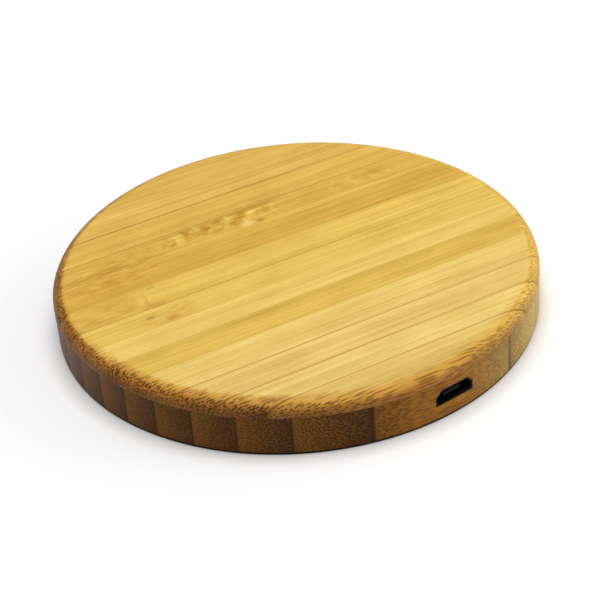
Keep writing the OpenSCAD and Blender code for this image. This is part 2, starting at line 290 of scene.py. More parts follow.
def rounded_polygon(corners: Sequence[Point], radius: float, steps: int) -> list[Point]:
    """Rounds the corners of a convex polygon.

    Args:
        corners: the polygon's corners in order.
        radius: radius of each corner.
        steps: pieces in each corner.

    Returns:
        The rounded outline.
    """
    outline = []
    count = len(corners)
    for index, corner in enumerate(corners):
        here = Vector(corner)
        back = (Vector(corners[index - 1]) - here).normalized()
        ahead = (Vector(corners[(index + 1) % count]) - here).normalized()
        half = back.angle(ahead) / 2
        inwards = (back + ahead).normalized()
        centre = here + inwards * (radius / math.sin(half))
        first = here + back * (radius / math.tan(half)) - centre
        last = here + ahead * (radius / math.tan(half)) - centre
        turn = first.angle_signed(last)
        for step in range(steps + 1):
            point = centre + Matrix.Rotation(-turn * step / steps, 2) @ first
            outline.append((point.x, point.y))
    return outline


def add_block(bm: bmesh.types.BMesh, middle: Vector, size: Vector) -> list[bmesh.types.BMVert]:
    """Adds a block to a mesh, for a cutter or a foot.

    Args:
        bm: the mesh.
        middle: the block's middle.
        size: its size along X, Y and Z.

    Returns:
        Its corners.
    """
    matrix = Matrix.Translation(middle) @ Matrix.Diagonal((*size, 1.0))
    return bmesh.ops.create_cube(bm, size=1.0, matrix=matrix)["verts"]


def cut(piece: Piece, cutter: Piece) -> None:
    """Cuts one piece with another, then removes the cutter.

    Args:
        piece: the piece, which keeps its name.
        cutter: what is taken away.
    """
    modifier = piece.modifiers.new("cut", "BOOLEAN")
    modifier.object = cutter
    modifier.operation = "DIFFERENCE"
    modifier.solver = "EXACT"
    bpy.context.view_layer.update()
    depsgraph = bpy.context.evaluated_depsgraph_get()
    result = bpy.data.meshes.new_from_object(piece.evaluated_get(depsgraph))
    piece.modifiers.clear()
    old = piece.data
    piece.data = result
    bpy.data.meshes.remove(old)
    bpy.data.objects.remove(cutter)


def place(piece: Piece, material: bpy.types.Material, slot: str, *nodes: str) -> None:
    """Dresses a new piece and fixes it to the pad's one body.

    Args:
        piece: the piece.
        material: its finish.
        slot: the record's slot that the finish belongs to; not used.
        nodes: the CAD nodes that the piece stands for.
    """
    piece.data.materials.clear()
    piece.data.materials.append(material)
    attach(piece, "root")
    if nodes:
        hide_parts(*nodes)
    log.info("built %s: %d faces", piece.name, len(piece.data.polygons))


# ---- Bamboo ----


@dataclass(frozen=True)
class Strip:
    """One glued strip of bamboo, from its start across the grain to the next one's start.

    Joint is how dark the glue line at its start is. Dense is how far its fibre
    bundles crowd towards its start, or towards its end where it is negative.
    """

    start: float
    tone: str
    joint: float = 0.0
    dense: float = 0.6
    streak: float = 1.0


@dataclass(frozen=True)
class Mark:
    """A knot, scar or fleck in the grain: an ellipse along and across it, in millimetres.

    Edge is how much of the ellipse it fades over. Scars and flecks only shade the
    wood, so they have no colour of their own.
    """

    along: float
    across: float
    length: float
    width: float
    strength: float
    colour: str = ""
    edge: float = 0.65


@dataclass(frozen=True)
class Bamboo:
    """Laminated bamboo, glued from strips on edge, sanded round and lacquered satin.

    A strip is a slice of the culm's wall, crowded with dark fibre bundles on its
    outer side and sparse on its inner side. To the eye that gives fine pale streaks
    along the grain, dots where the bundles are cut across, and open pores where the
    rounded edge cuts them at a slant. Every length here is in millimetres.

    The rim colours are the rounded edge's, and the long grain and end colours are the
    wall's. The paler tones for the rim, the wall and the bundles are painted light on the
    right-hand side, where the light falls: they take over along the grain between the two
    painted-light limits.
    The sander's uneven reach starts between edge_from and edge_to from the middle,
    end_full is how squarely a cut shows nothing but end grain, and joint_reach is
    half the width of a glue line.
    """

    name: str
    strips: tuple[Strip, ...]
    rim_long: str
    rim_end: str
    rim_painted_light_tone: str
    glue: str
    end_pale: str
    end_dark: str
    long_grain: str
    painted_light_tone: str
    bundle: str
    bundle_painted_light_tone: str
    bundle_gap: float
    painted_light_from: float
    painted_light_to: float
    pore: float
    pore_low: float
    pore_depth: float
    face_bundle: float
    grain_deg: float
    roughness: float
    specular: float
    end_full: float = 0.5
    edge_from: float = 41.3
    edge_to: float = 42.9
    joint_reach: float = 0.18
    marks: tuple[Mark, ...] = ()
    scars_and_dimple_shading: tuple[Mark, ...] = ()
    flecks: tuple[Mark, ...] = ()

    def material(self) -> bpy.types.Material:
        """Builds the finish.

        Returns:
            The node material.
        """
        material = new_material(self.name)
        tree = material.node_tree
        coords = add_node(tree, "TexCoord")
        # Millimetres, with X along the grain
        turned_back = (0.0, 0.0, math.radians(-self.grain_deg))
        place_in = {"Vector": coords.outputs["Object"], "Rotation": turned_back, "Scale": (1 / MM,) * 3}
        grain = add_node(tree, "Mapping", place_in)
        axes = add_node(tree, "SeparateXYZ", {"Vector": grain})
        tone, traits, depth, joints = self.lay_strips(tree, axes.outputs["Y"])
        traits = add_node(tree, "SeparateXYZ", {"Vector": traits})
        seed = add_node(tree, "CombineXYZ", {"Y": traits.outputs["X"], "Z": traits.outputs["X"]})
        own_grain = add_node(tree, "VectorMath", {0: grain, 1: seed}, operation="ADD")
        # Painted light: how far the paler tones of the lit right-hand side take over
        painted_light = add_node(
            tree,
            "MapRange",
            {"Value": axes.outputs["X"], "From Min": self.painted_light_from, "From Max": self.painted_light_to},
            **SMOOTH,
        )
        openness, turned, endness = self.cuts(tree, coords.outputs["Normal"], grain, painted_light)

        streaks, shade = self.streak(tree, own_grain, traits.outputs["Y"])
        face = add_node(tree, "VectorMath", {0: tone, 1: shade}, operation="MULTIPLY")
        face = self.mark(tree, grain, face)
        ends = {"Factor": depth, "A": linear(self.end_pale), "B": linear(self.end_dark)}
        cut_end = add_node(tree, "Mix", ends, **COLOUR)
        skins = []
        # Each skin turns to its painted-light tone towards the lit right-hand side
        for long, end, painted_light_tone in (
            (self.rim_long, linear(self.rim_end), self.rim_painted_light_tone),
            (self.long_grain, cut_end, self.painted_light_tone),
        ):
            skin = add_node(tree, "Mix", {"Factor": endness, "A": linear(long), "B": end}, **COLOUR)
            skin = add_node(tree, "Mix", {"Factor": painted_light, "A": skin, "B": linear(painted_light_tone)}, **COLOUR)
            skins.append(add_node(tree, "VectorMath", {0: skin, 1: shade}, operation="MULTIPLY"))
        base = add_node(tree, "Mix", {"Factor": openness, "A": face, "B": skins[0]}, **COLOUR)
        base = add_node(tree, "Mix", {"Factor": turned, "A": base, "B": skins[1]}, **COLOUR)

        dots = self.bundles(tree, own_grain, depth)
        on_side = {"Value": endness, "To Min": 0.6 * self.pore, "To Max": self.pore}
        on_side = add_node(tree, "MapRange", on_side)
        # The sanded edge opens the pores most just where it leaves the face
        lower = add_node(tree, "MapRange", {"Value": turned, "To Min": 1.0, "To Max": self.pore_low})
        # Pores and glue lines are painted milder under the painted light of the right-hand side
        milder = add_node(tree, "MapRange", {"Value": painted_light, "To Min": 1.0, "To Max": 0.62})
        for share in (lower, milder):
            on_side = add_node(tree, "Math", {0: on_side, 1: share}, operation="MULTIPLY")
        contrast = {"Factor": openness, "A": self.face_bundle, "B": on_side}
        contrast = add_node(tree, "Mix", contrast, data_type="FLOAT")
        pores = add_node(tree, "Math", {0: dots, 1: contrast}, operation="MULTIPLY")
        # The bundles turn to their paler painted-light tone towards the right-hand side
        dark = {"Factor": painted_light, "A": linear(self.bundle), "B": linear(self.bundle_painted_light_tone)}
        dark = add_node(tree, "Mix", dark, **COLOUR)
        colour = add_node(tree, "Mix", {"Factor": pores, "A": base, "B": dark}, **COLOUR)
        joints = add_node(tree, "Math", {0: joints, 1: milder}, operation="MULTIPLY")
        colour = add_node(tree, "Mix", {"Factor": joints, "A": colour, "B": linear(self.glue)}, **COLOUR)

        height = add_node(tree, "Math", {0: pores, 1: -1.0, 2: 1.0}, operation="MULTIPLY_ADD")
        height = add_node(tree, "Math", {0: streaks, 1: 0.12, 2: height}, operation="MULTIPLY_ADD")
        relief = {"Strength": 0.8, "Distance": self.pore_depth * MM, "Height": height}
        gloss = {"Value": streaks, "To Min": self.roughness - 0.07, "To Max": self.roughness + 0.07}
        lacquer = {
            "Base Color": colour,
            "Roughness": add_node(tree, "MapRange", gloss),
            "Normal": add_node(tree, "Bump", relief),
            "IOR": 1.5,
            "Specular IOR Level": self.specular,
        }
        add_node(tree, "OutputMaterial", {"Surface": add_node(tree, "BsdfPrincipled", lacquer)})
        return material

    def cuts(self, tree: Tree, normal: Any, grain: Any, painted_light: Any) -> tuple[Any, Any, Any]:
        """Finds how the surface cuts the fibres.

        Args:
            tree: the material's node tree.
            normal: the surface's normal.
            grain: place in the grain, in millimetres.
            painted_light: how much of the painted light of the lit right-hand side lies there.

        Returns:
            How open its pores are, how far it has turned from the face into the side,
            and how squarely it cuts the fibres, each from 0 to 1.
        """
        upright = add_node(tree, "SeparateXYZ", {"Vector": normal}).outputs["Z"]
        steep = add_node(tree, "Math", {0: upright}, operation="ABSOLUTE")
        opened = add_node(tree, "MapRange", {"Value": steep, "From Min": 0.9995, "From Max": 0.95}, **SMOOTH)
        turned = add_node(tree, "MapRange", {"Value": steep, "From Min": 0.96, "From Max": 0.3}, **SMOOTH)

        # The sander reaches a little further in than the round itself, and unevenly
        level = add_node(tree, "VectorMath", {0: grain, 1: (1.0, 1.0, 0.0)}, operation="MULTIPLY")
        reach = add_node(tree, "VectorMath", {0: level}, operation="LENGTH").outputs["Value"]
        patchy = add_node(tree, "Mapping", {"Vector": grain, "Scale": (1 / 1.4, 1 / 0.7, 0.0)})
        patchy = add_node(tree, "TexNoise", {"Vector": patchy, "Scale": 1.0, "Detail": 1.0})
        reach = add_node(tree, "Math", {0: patchy, 1: 2.0, 2: reach}, operation="MULTIPLY_ADD")
        inner = {"Value": reach, "From Min": self.edge_from + 1.0, "From Max": self.edge_to + 1.0}
        worn = add_node(tree, "MapRange", inner, **SMOOTH)
        # It does so only towards the front and less over the port; under the painted light of the right-hand
        # side it is cut back, which leaves that rim paler
        axes = add_node(tree, "SeparateXYZ", {"Vector": grain}).outputs
        aside = add_node(tree, "Math", {0: axes["X"]}, operation="ABSOLUTE")
        for limits in (
            {"Value": painted_light, "To Min": 1.0, "To Max": 0.1},
            {"Value": axes["Y"], "From Min": 4.0, "From Max": -14.0},
            {"Value": aside, "From Min": 6.0, "From Max": 24.0, "To Min": 0.35, "To Max": 1.0},
        ):
            share = add_node(tree, "MapRange", limits)
            worn = add_node(tree, "Math", {0: worn, 1: share}, operation="MULTIPLY")
        openness = add_node(tree, "Math", {0: opened, 1: worn}, operation="MAXIMUM")

        angle = math.radians(self.grain_deg)
        fibre = (math.cos(angle), math.sin(angle), 0.0)
        along = add_node(tree, "VectorMath", {0: normal, 1: fibre}, operation="DOT_PRODUCT")
        square = add_node(tree, "Math", {0: along}, operation="ABSOLUTE")
        endness = {"Value": square, "From Min": 0.08, "From Max": self.end_full}
        return openness, turned, add_node(tree, "MapRange", endness, **SMOOTH)

    def lay_strips(self, tree: Tree, across: bpy.types.NodeSocket) -> tuple[Any, Any, Any, Any]:
        """Lays the strips side by side across the grain.

        Args:
            tree: the material's node tree.
            across: distance across the grain in millimetres.

        Returns:
            The strips' tone, their seed and streak strength, how dense the bundles
            are and how dark the glue line is.
        """
        first = self.strips[0]
        tone: Any = linear(first.tone)
        traits: Any = (0.0, first.streak, 0.0)
        depth: Any = 0.5
        joints: Any = 0.0
        last_width = 7.0
        ends = [strip.start for strip in self.strips[1:]] + [self.strips[-1].start + last_width]
        for index, (strip, end) in enumerate(zip(self.strips, ends)):
            edges = (strip.start - self.joint_reach, strip.start + self.joint_reach)
            over = add_node(tree, "MapRange", {"Value": across, "From Min": edges[0], "From Max": edges[1]})
            tone = add_node(tree, "Mix", {"Factor": over, "A": tone, "B": linear(strip.tone)}, **COLOUR)
            own = (index * 13.7, strip.streak, 0.0)
            traits = add_node(tree, "Mix", {"Factor": over, "A": traits, "B": own}, data_type="VECTOR")
            slope = {
                "Value": across,
                "From Min": strip.start,
                "From Max": end,
                "To Min": max(0.0, strip.dense),
                "To Max": max(0.0, -strip.dense),
            }
            ramp = add_node(tree, "MapRange", slope)
            depth = add_node(tree, "Mix", {"Factor": over, "A": depth, "B": ramp}, data_type="FLOAT")
            if strip.joint:
                rest = add_node(tree, "Math", {0: 1.0, 1: over}, operation="SUBTRACT")
                peak = add_node(tree, "Math", {0: over, 1: rest}, operation="MULTIPLY")
                line = {0: peak, 1: 4 * strip.joint, 2: joints}
                joints = add_node(tree, "Math", line, operation="MULTIPLY_ADD")
        return tone, traits, depth, joints

    def streak(self, tree: Tree, grain: Any, strength: Any) -> tuple[Any, Any]:
        """Draws the streaks of the long grain.

        Args:
            tree: the material's node tree.
            grain: place in the strip's own grain, in millimetres.
            strength: how strongly the strip is streaked.

        Returns:
            The fine streaks from 0 to 1, and the brightness that all widths give.
        """
        # Width, length and swing of fibres (0.22 mm, drawn that coarse to show), of
        # strands, of bands 1.1 and 4 mm wide, and of clouds
        widths = (
            (0.22, 16.0, 0.15),
            (0.45, 30.0, 0.19),
            (1.1, 70.0, 0.18),
            (4.0, 90.0, 0.13),
            (5.0, 9.0, 0.13),
        )
        swings: Any = 0.0
        noises = []
        for width, length, swing in widths:
            scaled = add_node(tree, "Mapping", {"Vector": grain, "Scale": (1 / length, 1 / width, 1 / width)})
            noise = {"Vector": scaled, "Scale": 1.0, "Detail": 1.5, "Roughness": 0.5}
            noises.append(add_node(tree, "TexNoise", noise))
            centred = add_node(tree, "Math", {0: noises[-1], 1: 0.5}, operation="SUBTRACT")
            swings = add_node(tree, "Math", {0: centred, 1: swing * 2, 2: swings}, operation="MULTIPLY_ADD")
        swings = add_node(tree, "Math", {0: swings, 1: strength}, operation="MULTIPLY")
        return noises[0], self.deepen(tree, swings)

    def deepen(self, tree: Tree, swing: Any, red: float = 0.85) -> Any:
        """Turns a swing in brightness into one in colour: darker grain is also browner.

        Args:
            tree: the material's node tree.
            swing: the swing, from about -0.5 to 0.5.
            red: how much of it the red takes; less makes a warmer brown.

        Returns:
            What to multiply the colour by.
        """
        shift = {0: swing, 1: (red, 1.05, 1.7), 2: (1.0, 1.0, 1.0)}
        return add_node(tree, "VectorMath", shift, operation="MULTIPLY_ADD")

    def bundles(self, tree: Tree, grain: Any, depth: Any) -> Any:
        """Draws the fibre bundles, which run on along the grain and wander a little.

        Args:
            tree: the material's node tree.
            grain: place in the strip's own grain, in millimetres.
            depth: how dense the bundles are.

        Returns:
            A mask of the bundles, from 0 to 1.
        """
        gap = self.bundle_gap
        slow = add_node(tree, "Mapping", {"Vector": grain, "Scale": (1 / 7.0, 1 / 3.0, 1 / 3.0)})
        drift = add_node(tree, "TexNoise", {"Vector": slow, "Scale": 1.0, "Detail": 1.0}).outputs["Color"]
        drift = add_node(tree, "VectorMath", {0: drift, "Scale": 2.2 * gap}, operation="SCALE")
        wandering = add_node(tree, "VectorMath", {0: grain, 1: drift}, operation="ADD")
        axes = add_node(tree, "SeparateXYZ", {"Vector": wandering})
        section = add_node(tree, "CombineXYZ", {"X": axes.outputs["Y"], "Y": axes.outputs["Z"]})
        cells = {"Vector": section, "Scale": 1 / gap, "Randomness": 0.8}
        cells = add_node(tree, "TexVoronoi", cells, voronoi_dimensions="2D")
        # The bundles swell and thin every few millimetres, so that a slanting cut shows short pores
        knobs = add_node(tree, "Mapping", {"Vector": grain, "Scale": (1 / 1.6, 1 / gap, 1 / gap)})
        swell = add_node(tree, "TexNoise", {"Vector": knobs, "Scale": 0.8, "Detail": 1.0})
        wide = add_node(tree, "MapRange", {"Value": depth, "To Min": 0.16, "To Max": 0.42})
        reach = add_node(tree, "Math", {0: swell, 1: 0.4, 2: wide}, operation="MULTIPLY_ADD")
        core = add_node(tree, "Math", {0: reach, 1: 0.45}, operation="MULTIPLY")
        dots = {"Value": cells.outputs["Distance"], "From Min": reach, "From Max": core}
        return add_node(tree, "MapRange", dots, **SMOOTH)

    def mark(self, tree: Tree, grain: Any, colour: Any) -> Any:
        """Draws the knots, the node scars and the short flecks over the long grain; the scars' dark and
        bright mottling is partly painted shade and highlight of their dimples.

        Args:
            tree: the material's node tree.
            grain: place in the grain, in millimetres.
            colour: the colour so far.

        Returns:
            The colour with the marks on it.
        """
        rough = add_node(tree, "Mapping", {"Vector": grain, "Scale": (1 / 1.8, 1 / 1.1, 1.0)})
        ragged = add_node(tree, "TexNoise", {"Vector": rough, "Scale": 1.0, "Detail": 2.0}).outputs["Color"]
        ragged = add_node(tree, "VectorMath", {0: ragged, 1: (0.5, 0.5, 0.5)}, operation="SUBTRACT")
        ragged = add_node(tree, "VectorMath", {0: ragged, 1: (1.6, 1.2, 0.0)}, operation="MULTIPLY")
        torn = add_node(tree, "VectorMath", {0: grain, 1: ragged}, operation="ADD")
        for spot in self.marks:
            mask = self.ellipse(tree, torn, spot)
            colour = add_node(tree, "Mix", {"Factor": mask, "A": colour, "B": linear(spot.colour)}, **COLOUR)
        # Scars are fingers across the grain, 2.4 mm apart, whose dark and bright swing is partly
        # their own mottling and partly painted shade and highlight of dimples that have no relief;
        # flecks are dashes along it
        kinds = (
            (self.scars_and_dimple_shading, (1 / 2.4, 1 / 2.4, 0.0), 0.44, 0.36),
            (self.flecks, (1 / 3.4, 1 / 0.6, 0.0), 0.26, 0.15),
        )
        for zone, scale, low, high in [(zone, *kind) for zones, *kind in kinds for zone in zones]:
            mask = self.ellipse(tree, torn, zone)
            scaled = add_node(tree, "Mapping", {"Vector": grain, "Scale": scale})
            noise = {"Vector": scaled, "Scale": 1.0, "Detail": 2.0, "Distortion": 0.5}
            noise = add_node(tree, "TexNoise", noise)
            swing = {"Value": noise, "From Min": 0.32, "From Max": 0.68, "To Min": -low, "To Max": high}
            swing = add_node(tree, "MapRange", swing)
            swing = add_node(tree, "Math", {0: swing, 1: mask}, operation="MULTIPLY")
            shade = self.deepen(tree, swing, 0.62)
            colour = add_node(tree, "VectorMath", {0: colour, 1: shade}, operation="MULTIPLY")
        return colour

    def ellipse(self, tree: Tree, grain: Any, spot: Mark) -> Any:
        """Masks one mark.

        Args:
            tree: the material's node tree.
            grain: place in the grain, in millimetres.
            spot: the mark.

        Returns:
            A soft mask, as strong as the mark is.
        """
        moved = add_node(tree, "Mapping", {"Vector": grain, "Location": (-spot.along, -spot.across, 0.0)})
        scaled = add_node(tree, "Mapping", {"Vector": moved, "Scale": (2 / spot.length, 2 / spot.width, 0.0)})
        far = add_node(tree, "VectorMath", {0: scaled}, operation="LENGTH")
        soft = {"Value": far, "From Min": 1.0, "From Max": 1 - spot.edge, "To Max": spot.strength}
        return add_node(tree, "MapRange", soft, **SMOOTH)


# Honey-coloured long grain on the face, in strips of several widths and tones with fine
# glue lines; a browner, pored rim where the rounded edge cuts the fibres at a slant; a paler
# rim with milder pores and glue lines towards the right-hand side, painted light where the light falls
PLATE_BAMBOO = Bamboo(
    name="bamboo_laminate_plate",
    strips=(
        Strip(-48.0, "DBB966", dense=0.5, streak=1.1),
        Strip(-36.9, "E4C470", joint=0.45, dense=1.0, streak=1.1),
        Strip(-31.1, "E0BD6D", joint=0.6, dense=0.6, streak=1.05),
        Strip(-24.8, "E3C26C", joint=0.6, dense=-0.4, streak=1.05),
        Strip(-17.8, "D9B352", dense=-0.8, streak=1.1),
        Strip(-11.7, "E3BF63", joint=0.35, dense=0.4, streak=0.95),
        Strip(-5.8, "DDB959", dense=0.3, streak=1.1),
        Strip(0.2, "DCB754", joint=0.6, dense=0.5, streak=1.2),
        Strip(7.0, "D1A543", dense=0.8, streak=1.2),
        Strip(13.5, "D7AD4D", dense=-0.5, streak=1.4),
        Strip(20.9, "D6AC4F", joint=0.65, dense=0.3, streak=1.35),
        Strip(28.1, "D7AE53", joint=0.9, dense=0.5, streak=1.3),
        Strip(34.6, "D9B054", dense=0.5, streak=1.2),
        Strip(41.0, "D5AA4F", dense=0.5),
    ),
    rim_long="CF9A3C",
    rim_end="A86E22",
    # Painted light on the lit right-hand side: the rim's paler tone
    rim_painted_light_tone="E0B850",
    glue="9A6A26",
    end_pale="8E5E26",
    end_dark="6C4114",
    long_grain="A87030",
    # Painted light on the lit right-hand side: the side's and the bundles' paler tones
    painted_light_tone="D8A650",
    bundle="40200A",
    bundle_painted_light_tone="9A6A28",
    bundle_gap=0.4,
    # Where the painted light takes over along the grain
    painted_light_from=0.0,
    painted_light_to=40.0,
    pore=0.95,
    pore_low=0.78,
    pore_depth=0.1,
    face_bundle=0.05,
    grain_deg=-7.5,
    roughness=0.45,
    specular=0.13,
    marks=(
        Mark(-30.6, -2.4, 2.8, 1.3, 0.7, "A07428"),
        Mark(-27.2, -4.6, 3.8, 2.0, 0.7, "B87828"),
        Mark(-28.0, 0.8, 7.0, 2.0, 0.55, "C08C3A"),
        Mark(-28.9, 3.2, 1.3, 6.0, 0.3, "A8742A"),
        Mark(-33.0, 12.0, 28.0, 17.0, 0.4, "D09F47", edge=0.9),
        Mark(-26.6, 6.2, 2.2, 1.0, 0.35, "A8802F"),
        Mark(-37.6, 3.8, 18.0, 7.6, 0.5, "CF9E48", edge=0.3),
        Mark(2.0, 20.3, 16.0, 1.8, 0.55, "B07A28"),
        Mark(1.2, 15.2, 2.8, 1.8, 0.65, "A8782C"),
        Mark(-1.6, 15.6, 4.2, 2.4, 0.6, "F3D88E"),
        Mark(-28.0, -3.6, 13.0, 5.2, 0.45, "D9AC55"),
    ),
    # Node scars: partly their own mottling, partly painted shade and highlight of their dimples
    scars_and_dimple_shading=(
        Mark(-9.0, 18.3, 40.0, 6.4, 1.0),
        Mark(24.0, 18.0, 24.0, 6.4, 0.45),
    ),
    flecks=(
        Mark(-31.0, 14.5, 30.0, 14.0, 1.0),
        Mark(-36.5, 3.6, 17.0, 8.0, 0.8, edge=0.4),
        Mark(-27.0, -3.0, 13.0, 7.0, 1.0),
    ),
)

# Dark, dotted end grain on the wall, one tone step at each glue line; it is paler and
# plainer where the wall runs along the grain, and painted paler and plainer towards the
# right-hand side as painted light, where the light falls
BODY_BAMBOO = Bamboo(
    name="bamboo_laminate_body",
    strips=tuple(
        Strip(-48.8 + 6.4 * count, tone, joint=0.55, dense=0.95)
        for count, tone in enumerate(("C9A05C", "C39A58") * 8)
    ),
    rim_long="A26A20",
    rim_end="7C4E12",
    # Painted light on the lit right-hand side: the rim's paler tone
    rim_painted_light_tone="CC963C",
    glue="2E1A0A",
    end_pale="7C4E12",
    end_dark="573208",
    # Long grain partly darkened with painted shade for the dim left and front of the wall
    long_grain="A26A20",
    # Painted light on the lit right-hand side: the wall's and the bundles' paler tones
    painted_light_tone="D2AE5A",
    bundle="2A1803",
    bundle_painted_light_tone="96702E",
    bundle_gap=0.34,
    # Where the painted light takes over along the grain
    painted_light_from=-2.0,
    painted_light_to=31.0,
    end_full=0.38,
    pore=0.8,
    pore_low=1.0,
    pore_depth=0.05,
    face_bundle=0.1,
    grain_deg=-0.7,
    roughness=0.42,
    specular=0.08,
)


# ---- Other finishes ----


class Texture(Enum):
    """How a plain finish's fine relief is made."""

    MOULDED = "moulded"
    BRUSHED = "brushed"
    SINTERED = "sintered"


@dataclass(frozen=True)
class Finish:
    """A plain finish with fine relief and slight colour variation."""

    name: str
    colour: str
    worn: str
    roughness: float
    metallic: float = 0.0
    ior: float = 1.5
    specular: float = 0.5
    relief_mm: float = 0.4
    depth_mm: float = 0.01
    texture: Texture = Texture.MOULDED

    def material(self) -> bpy.types.Material:
        """Builds the finish.

        Returns:
            The node material.
        """
        material = new_material(self.name)
        tree = material.node_tree
        here = add_node(tree, "TexCoord").outputs["Object"]
        stretch = 12.0 if self.texture is Texture.BRUSHED else 1.0
        detail = 5.0 if self.texture is Texture.SINTERED else 3.0
        scale = 1 / (self.relief_mm * MM)
        mapped = add_node(tree, "Mapping", {"Vector": here, "Scale": (scale / stretch, scale, scale)})
        grain = add_node(tree, "TexNoise", {"Vector": mapped, "Scale": 1.0, "Detail": detail})
        # Patches about 8 mm across, where the surface is worn or stained
        wide = add_node(tree, "TexNoise", {"Vector": here, "Scale": 120.0})
        blend = add_node(tree, "MapRange", {"Value": wide, "From Min": 0.35, "From Max": 0.7})
        tones = {"Factor": blend, "A": linear(self.colour), "B": linear(self.worn)}
        gloss = {"Value": grain, "To Min": self.roughness * 0.85, "To Max": min(1.0, self.roughness * 1.15)}
        relief = {"Strength": 0.4, "Distance": self.depth_mm * MM, "Height": grain}
        sockets = {
            "Base Color": add_node(tree, "Mix", tones, **COLOUR),
            "Roughness": add_node(tree, "MapRange", gloss),
            "Normal": add_node(tree, "Bump", relief),
            "Metallic": self.metallic,
        }
        if self.metallic < 0.5:
            sockets["IOR"] = self.ior
            sockets["Specular IOR Level"] = self.specular
        add_node(tree, "OutputMaterial", {"Surface": add_node(tree, "BsdfPrincipled", sockets)})
        return material


# ABS, injection moulded against spark-eroded steel: an even satin black with no glare
BLACK_ABS = Finish("abs_black_moulded", "1C1D1F", "232426", 0.55, ior=1.53, relief_mm=0.25)
# Silicone rubber, die-cut from pressed sheet: dull, slightly dusty black that hardly shines
BLACK_RUBBER = Finish(
    "silicone_rubber_black", "111112", "1A1A1B", 0.8, ior=1.41, specular=0.3, relief_mm=0.5, depth_mm=0.03
)
# Carbon steel, cold headed and zinc plated: pale blue-grey with fine turning lines
ZINC_STEEL = Finish(
    "steel_zinc_plated", "B6B9BD", "9A9DA2", 0.32, metallic=1.0, relief_mm=0.15, texture=Texture.BRUSHED
)
# Stainless steel strip, rolled and folded: drawn near black, with a dim streaky shine
DARK_STEEL = Finish(
    "steel_near_black", "0E1012", "15171A", 0.38, metallic=1.0, relief_mm=0.12, texture=Texture.BRUSHED
)
# Copper litz, enamelled strands twisted and flattened: deep amber-red, glossy along the strands
LITZ = Finish("copper_litz_enamelled", "B05A2C", "8E4420", 0.35, metallic=0.8, relief_mm=0.12)
# Nickel-zinc ferrite, pressed and sintered: charcoal grey with a faint mineral sparkle
FERRITE = Finish(
    "ferrite_sintered", "3B3939", "2C2A2A", 0.65, ior=2.2, relief_mm=0.2, texture=Texture.SINTERED
)
# Tissue tape with acrylic glue on both sides, slit from a roll: creamy white, matt and fibrous
TAPE = Finish("tissue_tape", "E6E1D2", "D8D0BC", 0.75, ior=1.48, relief_mm=0.6)
# Closed-cell polyurethane foam, skived from a block: dark grey, its cut cells swallow the light
FOAM = Finish(
    "polyurethane_foam", "3A3A3D", "2A2A2D", 0.9, relief_mm=0.5, depth_mm=0.08, texture=Texture.SINTERED
)
# Glass-epoxy laminate under sprayed solder mask: deep green, smooth and slightly glossy
SOLDER_MASK = Finish("glass_epoxy_solder_mask", "15663F", "105434", 0.35, ior=1.55, relief_mm=0.8)
# Tin solder, melted by hand iron: bright silver with a soft, rippled skin
SOLDER = Finish("tin_solder", "C6C9CC", "AEB2B6", 0.25, metallic=1.0, relief_mm=0.3)
# Glass-filled nylon, injection moulded: black, darkened further with painted shade and tinted blue as a
# painted reflection of the dim, bluish light inside the socket
NYLON = Finish("nylon_black_moulded", "0C131B", "101A24", 0.5, ior=1.53, specular=0.12, relief_mm=0.15)
# Copper alloy, stamped and gold plated: warm yellow, smooth
GOLD = Finish("gold_plated_contacts", "D9B25C", "C9A04C", 0.25, metallic=1.0, relief_mm=0.1)
# Epoxy packages, transfer moulded with glass powder: matt charcoal black
EPOXY = Finish("epoxy_package_moulded", "1B1C1E", "232427", 0.6, ior=1.55, relief_mm=0.15)
# Barium titanate ceramic, fired in layers: biscuit brown, fine and eggshell smooth
CERAMIC = Finish(
    "barium_titanate_ceramic", "A57E52", "93704A", 0.5, ior=1.9, relief_mm=0.2, texture=Texture.SINTERED
)

SLOT_FINISHES: dict[str, Bamboo | Finish] = {
    "bamboo_plate": PLATE_BAMBOO,
    "bamboo_body": BODY_BAMBOO,
    "black_abs": BLACK_ABS,
    "black_rubber": BLACK_RUBBER,
    "zinc_steel": ZINC_STEEL,
    "dark_steel": DARK_STEEL,
    "litz_copper": LITZ,
    "ferrite": FERRITE,
    "paper_tape": TAPE,
    "foam": FOAM,
    "board_laminate": SOLDER_MASK,
    "solder": SOLDER,
    "black_nylon": NYLON,
    "contact_gold": GOLD,
    "package_epoxy": EPOXY,
    "chip_ceramic": CERAMIC,
}


# How far each slot's moulding, stamping or sawing rounds an edge, in millimetres
TOOL_RADII = {"black_abs": 0.15, "package_epoxy": 0.06, "chip_ceramic": 0.06, "contact_gold": 0.02}


@dataclass
class Wardrobe:
    """Every finish of the pad, built once and shared by the pieces."""

    made: dict[str, bpy.types.Material] = field(default_factory=dict)

    def get(self, slot: str) -> bpy.types.Material:
        """Finds a finish, and builds it on first use.

        Args:
            slot: one of the record's slots.

        Returns:
            The slot's material.
        """
        if slot not in self.made:
            self.made[slot] = SLOT_FINISHES[slot].material()
        return self.made[slot]

    def soften(self, node: Piece, radius: float) -> None:
        """Rounds the sharp edges of a part as its tool leaves them.

        Args:
            node: the CAD node.
            radius: the tool's radius.
        """
        weld = node.modifiers.new("weld", "WELD")
        weld.merge_threshold = 0.001 * MM
        bevel = node.modifiers.new("tool_radius", "BEVEL")
        bevel.width = radius
        bevel.segments = 2
        bevel.limit_method = "ANGLE"
        bevel.angle_limit = math.radians(40)

    def dress_frame(self, packed: dict[str, Any]) -> None:
        """Gives every CAD node its slot's finish.
        """
        for part in packed["record"]["subparts"]:
            node = packed["nodes"][part["node"]]
            slot = part["material_slot"]
            if slot in TOOL_RADII:
                self.soften(node, TOOL_RADII[slot] * MM)
            node.data.materials.clear()
            node.data.materials.append(self.get(slot))
            log.info("dressed %s as %s", part["node"], slot)


# ---- Casing ----


